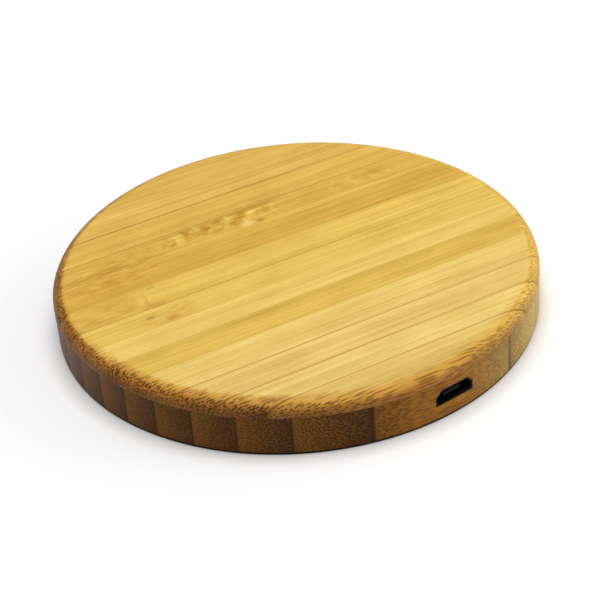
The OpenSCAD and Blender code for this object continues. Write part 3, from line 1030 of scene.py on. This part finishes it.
@dataclass
class Casing:
    """The bamboo top plate and the ring under it, cut from one glued blank."""

    wardrobe: Wardrobe
    segments: int = 512
    edge_round: float = 2.1 * MM
    edge_reach: float = 2.7 * MM
    seam_bevel: float = 0.03 * MM
    foot_bevel: float = 0.15 * MM
    wall: float = 6.0 * MM
    lip: float = 1.4 * MM
    cover: float = 1.2 * MM
    front_wall: float = 1.8 * MM
    bay_width: float = 13.0 * MM
    bay_corner: float = 1.5 * MM
    port_gap: float = 0.04 * MM
    port_lip: float = 0.25 * MM
    port_cut: float = 1.24 * MM
    screw_hole: float = 1.02 * MM
    screw_circle: float = 41.3 * MM
    screw_top: float = 5.4 * MM
    screw_sides: int = 24

    def build(self) -> None:
        """Builds both pieces."""
        self.build_plate()
        self.build_ring()

    def build_plate(self) -> None:
        """Builds the top plate with its rounded edge."""
        low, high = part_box("top_plate")
        radius = high.x
        bevel = self.seam_bevel
        profile = [(reach, low.z) for reach in (0.0, radius / 2, radius - self.wall, radius - bevel)]
        profile.append((radius, low.z + bevel))
        centre = (radius - self.edge_reach, high.z - self.edge_round)
        profile += arc(centre, self.edge_round, 0, 90, 18, self.edge_reach)
        profile += [(radius * share, high.z) for share in (0.9, 0.75, 0.5, 0.25)]
        profile.append((0.0, high.z))
        piece = make_object("bamboo_top_plate", lathe(profile, self.segments))
        place(piece, self.wardrobe.get("bamboo_plate"), "bamboo_plate", "top_plate")

    def build_ring(self) -> None:
        """Builds the body ring with its rebate, bay, port and screw holes."""
        low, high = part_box("body_ring")
        radius = high.x
        pocket = radius - self.wall
        rebate = radius - self.lip
        shelf = low.z + self.cover
        profile = [
            (radius - self.foot_bevel, low.z),
            (radius, low.z + self.foot_bevel),
            (radius, (low.z + high.z) / 2),
            (radius, high.z - self.seam_bevel),
            (radius - self.seam_bevel, high.z),
            (pocket, high.z),
            (pocket, shelf),
            (rebate, shelf),
            (rebate, low.z),
        ]
        piece = make_object("bamboo_body_ring", lathe(profile, self.segments))
        cut(piece, self.bay_cutter(low.z, high.z, radius))
        cut(piece, self.port_cutter(radius))
        cut(piece, self.screw_cutter(low.z))
        crease(piece)
        place(piece, self.wardrobe.get("bamboo_body"), "bamboo_body", "body_ring")

    def bay_cutter(self, low: float, high: float, radius: float) -> Piece:
        """Makes the router's way: an upright block with round corners, behind the port.

        Args:
            low: height of the ring's underside.
            high: height of its top.
            radius: its outer radius.

        Returns:
            The cutter.
        """
        half = self.bay_width / 2
        front = -(radius - self.front_wall)
        back = -(radius - self.wall - 2 * self.bay_corner)
        corners = [(-half, front), (half, front), (half, back), (-half, back)]
        outline = rounded_polygon(corners, self.bay_corner, 8)
        loops = [[Vector((x, y, z)) for x, y in outline] for z in (low - MM, high + MM)]
        return make_object("bay_cutter", loft(loops))

    def screw_cutter(self, low: float) -> Piece:
        """Makes the four drills with pointed ends for the base screws.

        Args:
            low: height of the ring's underside.

        Returns:
            The cutter.
        """
        bm = bmesh.new()
        circle = arc((0.0, 0.0), self.screw_hole, 0, 360, self.screw_sides)[:-1]
        for quarter in range(4):
            angle = math.radians(45 + 90 * quarter)
            middle = Vector((math.cos(angle), math.sin(angle), 0.0)) * self.screw_circle
            foot, head = (
                [bm.verts.new(middle + Vector((x, y, height))) for x, y in circle]
                for height in (low - MM, self.screw_top)
            )
            tip = bm.verts.new(middle + Vector((0.0, 0.0, self.screw_top + 0.5 * self.screw_hole)))
            bm.faces.new(foot)
            for step in range(self.screw_sides):
                after = (step + 1) % self.screw_sides
                bm.faces.new((foot[step], foot[after], head[after], head[step]))
                bm.faces.new((head[step], head[after], tip))
        return make_object("screw_cutter", bm)

    def port_cutter(self, radius: float) -> Piece:
        """Makes the tunnel through the front wall, which widens into a sanded lip.

        Args:
            radius: the ring's outer radius.

        Returns:
            The cutter.
        """
        low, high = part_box("usb_shell")
        middle = (low.z + high.z) / 2
        half_w = (high.x - low.x) / 2 + self.port_gap
        half_h = (high.z - low.z) / 2 + self.port_gap
        spread_out = 1.2 * self.port_lip
        sections = (
            (radius - self.front_wall - MM, 0.0),
            (radius - self.port_lip, 0.0),
            (radius + self.port_lip, spread_out),
            (radius + MM, spread_out),
        )
        loops = []
        for reach, spread in sections:
            outline = port_outline(half_w + spread, half_h + spread, self.port_cut)
            loops.append([Vector((x, -reach, middle + z)) for x, z in outline])
        return make_object("port_cutter", loft(loops))


def port_outline(half_w: float, half_h: float, corner_cut: float, radius: float = 0.18 * MM) -> list[Point]:
    """Outline of the port: flat floor and two cut upper corners.

    Args:
        half_w: half its width.
        half_h: half its height.
        corner_cut: size of the cut upper corners.
        radius: rounding of every corner.

    Returns:
        The outline's points.
    """
    corners = [
        (-half_w, -half_h),
        (half_w, -half_h),
        (half_w, half_h - corner_cut),
        (half_w - corner_cut, half_h),
        (-half_w + corner_cut, half_h),
        (-half_w, half_h - corner_cut),
    ]
    return rounded_polygon(corners, radius, 4)


# ---- Underside ----


@dataclass
class Underside:
    """The non-slip mat that the pad stands on."""

    wardrobe: Wardrobe
    segments: int = 320
    edge: float = 0.12 * MM
    grooves: tuple[float, ...] = (14 * MM, 24 * MM, 34 * MM)
    groove_width: float = 0.8 * MM
    groove_depth: float = 0.15 * MM
    groove_lip: float = 0.08 * MM

    def build(self) -> None:
        """Builds the mat with its round edge and its three moulded grooves."""
        low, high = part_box("base_mat")
        radius = high.x
        floor = low.z + self.groove_depth
        profile = [(0.0, low.z), (self.grooves[0] / 2, low.z)]
        for middle in self.grooves:
            inner = middle - self.groove_width / 2
            outer = middle + self.groove_width / 2
            profile += [(inner, low.z), (inner + self.groove_lip, low.z + self.groove_lip / 2)]
            profile += [(inner + self.groove_lip, floor), (outer - self.groove_lip, floor)]
            profile += [(outer - self.groove_lip, low.z + self.groove_lip / 2), (outer, low.z)]
        profile += arc((radius - self.edge, low.z + self.edge), self.edge, -90, 0, 5)
        profile += arc((radius - self.edge, high.z - self.edge), self.edge, 0, 90, 5)
        profile += [(radius / 2, high.z), (0.0, high.z)]
        piece = make_object("non_slip_mat", lathe(profile, self.segments))
        place(piece, self.wardrobe.get("black_rubber"), "black_rubber", "base_mat")


# ---- Power socket ----


@dataclass
class PowerSocket:
    """The folded steel shell with its flared mouth, and the moulded tongue inside it."""

    wardrobe: Wardrobe
    sheet: float = 0.25 * MM
    corner_cut: float = 1.05 * MM
    flare: float = 0.32 * MM
    flare_length: float = 0.75 * MM
    outer_bend: float = 0.38 * MM
    tab_width: float = 0.9 * MM
    tab_sheet: float = 0.3 * MM
    back_wall: float = 1.2 * MM
    tongue_width: float = 3.7 * MM
    tongue_thick: float = 0.62 * MM
    tongue_rise: float = 0.63 * MM
    tongue_recess: float = 0.7 * MM
    tongue_edge: float = 0.12 * MM
    contact_width: float = 0.38 * MM
    contact_thick: float = 0.12 * MM
    contact_pitch: float = 0.65 * MM
    contacts: int = 5
    front_feet: float = 42.9 * MM
    punch_round: float = 0.05 * MM
    mould_round: float = 0.1 * MM
    mouth: float = field(init=False)
    back: float = field(init=False)
    floor: float = field(init=False)
    ceiling: float = field(init=False)
    half_w: float = field(init=False)

    def __post_init__(self) -> None:
        """Takes the straight part of the shell from its box, without the mouth's flare."""
        low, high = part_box("usb_shell")
        self.mouth = -low.y
        self.back = -high.y
        self.floor = low.z + self.flare
        self.ceiling = high.z - self.flare
        self.half_w = (high.x - low.x) / 2 - self.flare

    def build(self) -> None:
        """Builds the shell and the tongue."""
        self.build_shell()
        self.build_tongue()

    def section(self, reach: float, spread: float, inside: bool) -> Loop:
        """One outline of the shell's sheet.

        Args:
            reach: how far out along -Y it lies.
            spread: how far the mouth's flare has opened there.
            inside: whether it lies on the sheet's inner side.

        Returns:
            The outline's points.
        """
        inset = self.sheet if inside else 0.0
        half_w = self.half_w + spread - inset
        half_h = (self.ceiling - self.floor) / 2 + spread - inset
        cut_size = self.corner_cut + (spread - inset) * (2 - math.sqrt(2))
        bend = self.outer_bend - inset
        middle = (self.ceiling + self.floor) / 2
        outline = port_outline(half_w, half_h, cut_size, bend)
        return [Vector((x, -reach, middle + z)) for x, z in outline]

    def build_shell(self) -> None:
        """Bends the sheet: straight, then out in a curve to a rounded lip; and its four feet."""
        outside = [(self.back, 0.0)]
        for step in range(9):
            share = step / 8
            reach = self.mouth - self.flare_length * (1 - share)
            outside.append((reach, self.flare * share ** 1.5))
        loops = [self.section(reach, spread, False) for reach, spread in outside]
        loops += [self.section(reach, spread, True) for reach, spread in reversed(outside)]
        bm = loft(loops, closed=True)
        top = self.ceiling - self.corner_cut
        size = Vector((self.tab_sheet, self.tab_width, top - self.floor))
        for side in (-1, 1):
            for reach in (self.back + self.tab_width, self.front_feet - self.tab_width):
                across = side * (self.half_w + self.tab_sheet / 2)
                foot = add_block(bm, Vector((across, -reach, (self.floor + top) / 2)), size)
                edges = {edge for vert in foot for edge in vert.link_edges}
                bmesh.ops.bevel(
                    bm, geom=list(edges), offset=self.punch_round, segments=2, affect="EDGES", profile=0.5
                )
        piece = make_object("socket_shell", bm)
        place(piece, self.wardrobe.get("dark_steel"), "dark_steel", "usb_shell")

    def cut_contacts(self, piece: Piece, inner: float, outer: float, low: float, high: float) -> None:
        """Cuts one groove for each contact.

        Args:
            piece: what is cut.
            inner: where the grooves start, along -Y.
            outer: where they end.
            low: height of their floor.
            high: height of their top.
        """
        bm = bmesh.new()
        size = Vector((self.contact_width, outer - inner, high - low))
        for index in range(self.contacts):
            across = (index - (self.contacts - 1) / 2) * self.contact_pitch
            add_block(bm, Vector((across, -(inner + outer) / 2, (low + high) / 2)), size)
        cut(piece, make_object("contact_cutter", bm))
        crease(piece)

    def build_tongue(self) -> None:
        """Builds the tongue with its bevelled front and contact grooves, and the wall behind it."""
        front = self.mouth - self.tongue_recess
        low = self.floor + self.tongue_rise
        high = low + self.tongue_thick
        edge = self.tongue_edge
        loops = []
        for reach, inset in ((self.back, 0.0), (front - edge, 0.0), (front, edge)):
            half = self.tongue_width / 2 - inset
            under, over = low + inset, high - inset
            corners = [(-half, under), (half, under), (half, over), (-half, over)]
            outline = rounded_polygon(corners, self.mould_round, 3)
            loops.append([Vector((x, -reach, z)) for x, z in outline])
        tongue = make_object("socket_tongue", loft(loops))
        thick = self.contact_thick
        self.cut_contacts(tongue, self.back - MM, front - 2 * thick, high - thick, high + thick)
        nylon = self.wardrobe.get("black_nylon")
        place(tongue, nylon, "black_nylon")

        # The wall stands clear of the shell by the glue's thickness
        glue = 0.02 * MM
        wall = [self.section(self.back + deep, -glue, True) for deep in (0.0, self.back_wall)]
        back = make_object("socket_back_wall", loft(wall))
        through = 2 * self.back_wall
        self.cut_contacts(back, self.back - through, self.back + through, high - thick, high)
        place(back, nylon, "black_nylon", "usb_insulator")


# ---- Coil ----


@dataclass
class Coil:
    """The flat spiral of stranded wire under the face."""

    wardrobe: Wardrobe
    turns: int = 10
    inner: float = 10.75 * MM
    pitch: float = 1.07 * MM
    start_deg: float = 60.0
    wire_width: float = 1.0 * MM
    strands: int = 7
    groove: float = 0.06 * MM
    lay: float = 9.0 * MM
    turn_steps: int = 96
    sides: int = 28

    def build(self) -> None:
        """Winds the wire: a flattened bundle whose strands twist once in its lay."""
        low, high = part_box("charging_coil")
        half_h = (high.z - low.z) / 2
        half_w = self.wire_width / 2
        middle = (high.z + low.z) / 2
        length = 0.0
        loops = []
        for step in range(self.turn_steps * self.turns + 1):
            turned = step / self.turn_steps
            radius = self.inner + self.pitch * turned
            length += TURN * radius / self.turn_steps
            angle = math.radians(self.start_deg) + TURN * turned
            out = Vector((math.cos(angle), math.sin(angle), 0.0))
            loop = []
            for side in range(self.sides):
                around = TURN * side / self.sides
                twist = self.strands * (around - TURN * length / self.lay)
                dip = 1 - self.groove / half_w * (0.5 - 0.5 * math.cos(twist))
                # A rounded rectangle, as the flattened bundle's outline
                flat = dip * (math.cos(around) ** 4 + math.sin(around) ** 4) ** -0.25
                across = half_w * flat * math.cos(around)
                upward = half_h * flat * math.sin(around)
                loop.append(out * (radius + across) + Vector((0.0, 0.0, middle + upward)))
            loops.append(loop)
        piece = make_object("coil_winding", loft(loops), 60)
        place(piece, self.wardrobe.get("litz_copper"), "litz_copper", "charging_coil")


# ---- Studio ----


@dataclass(frozen=True)
class Softbox:
    """One square softbox that faces the pad: its place and size in metres, its power in watts."""

    name: str
    place: tuple[float, float, float]
    size: float
    power: float

    def hang(self) -> None:
        """Hangs the softbox in its place."""
        light = bpy.data.lights.new(self.name, "AREA")
        light.shape = "SQUARE"
        light.size = self.size
        light.energy = self.power
        lamp = bpy.data.objects.new(self.name, light)
        lamp.location = self.place
        lamp.rotation_euler = (-Vector(self.place)).to_track_quat("-Z", "Y").to_euler()
        bpy.context.scene.collection.objects.link(lamp)


@dataclass
class Studio:
    """Pale floor, soft light and the camera."""

    azimuth: float = -33.9
    elevation: float = 33.57
    distance: float = 317.4 * MM
    pitch: float = -0.69
    yaw: float = -0.07
    roll: float = -4.97
    lens: float = 102.0
    sensor: float = 36.0
    floor_size: float = 6.0
    room_light: float = 0.25
    softboxes: tuple[Softbox, ...] = (
        Softbox("top_softbox", (0.0, 0.0, 1.0), 0.8, 8.7),
        Softbox("right_softbox", (1.0, 0.0, 0.35), 0.6, 1.6),
        Softbox("port_softbox", (0.8, -0.6, 0.35), 0.5, 2.4),
        Softbox("left_softbox", (-0.75, 0.75, 0.45), 0.7, 0.8),
    )

    def build(self) -> None:
        """Sets up the floor, the lights and the camera."""
        self.build_floor()
        self.build_lights()
        self.build_camera()

    def build_floor(self) -> None:
        """Makes the pale floor that the pad lies on."""
        bm = bmesh.new()
        bmesh.ops.create_grid(bm, x_segments=8, y_segments=8, size=self.floor_size / 2)
        floor = make_object("studio_floor", bm)
        # White backdrop paper, calendered: even and matt, so it only carries the soft shadow
        material = new_material("paper_white_backdrop")
        paper = {"Base Color": linear("F9F9F9"), "Roughness": 0.9, "Specular IOR Level": 0.1}
        surface = add_node(material.node_tree, "BsdfPrincipled", paper)
        add_node(material.node_tree, "OutputMaterial", {"Surface": surface})
        floor.data.materials.append(material)
        floor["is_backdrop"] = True

    def build_lights(self) -> None:
        """Makes the softboxes and the even light of a white room."""
        world = bpy.data.worlds.new("white_room")
        world.use_nodes = True
        background = world.node_tree.nodes["Background"]
        background.inputs["Color"].default_value = (1.0, 1.0, 1.0, 1.0)
        background.inputs["Strength"].default_value = self.room_light
        bpy.context.scene.world = world
        for softbox in self.softboxes:
            softbox.hang()

    def build_camera(self) -> None:
        """Makes the camera and its view."""
        azimuth = math.radians(self.azimuth)
        elevation = math.radians(self.elevation)
        back = Vector((
            math.sin(azimuth) * math.cos(elevation),
            -math.cos(azimuth) * math.cos(elevation),
            math.sin(elevation),
        ))
        right = Vector((math.cos(azimuth), math.sin(azimuth), 0.0))
        up = back.cross(right)
        turn = Matrix((right, up, back)).transposed()
        for degrees, axis in ((self.yaw, "Y"), (self.pitch, "X"), (self.roll, "Z")):
            turn = turn @ Matrix.Rotation(math.radians(degrees), 3, axis)
        low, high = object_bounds()
        target = Vector((0.0, 0.0, (low.z + high.z) / 2))
        data = bpy.data.cameras.new("camera")
        data.lens = self.lens
        data.sensor_width = self.sensor
        data.clip_start = 0.01
        camera = bpy.data.objects.new("camera", data)
        camera.matrix_world = Matrix.Translation(target + back * self.distance) @ turn.to_4x4()
        bpy.context.scene.collection.objects.link(camera)
        bpy.context.scene.camera = camera
        bpy.context.scene.view_settings.view_transform = "Standard"


def main() -> None:
    """Builds the pad's looks, then its studio."""
    logging.basicConfig(level=logging.INFO, format="%(name)s: %(message)s")
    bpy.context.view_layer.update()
    wardrobe = Wardrobe()
    wardrobe.dress_frame(frame)
    Casing(wardrobe).build()
    Underside(wardrobe).build()
    PowerSocket(wardrobe).build()
    Coil(wardrobe).build()
    Studio().build()


if __name__ == "__main__":
    main()
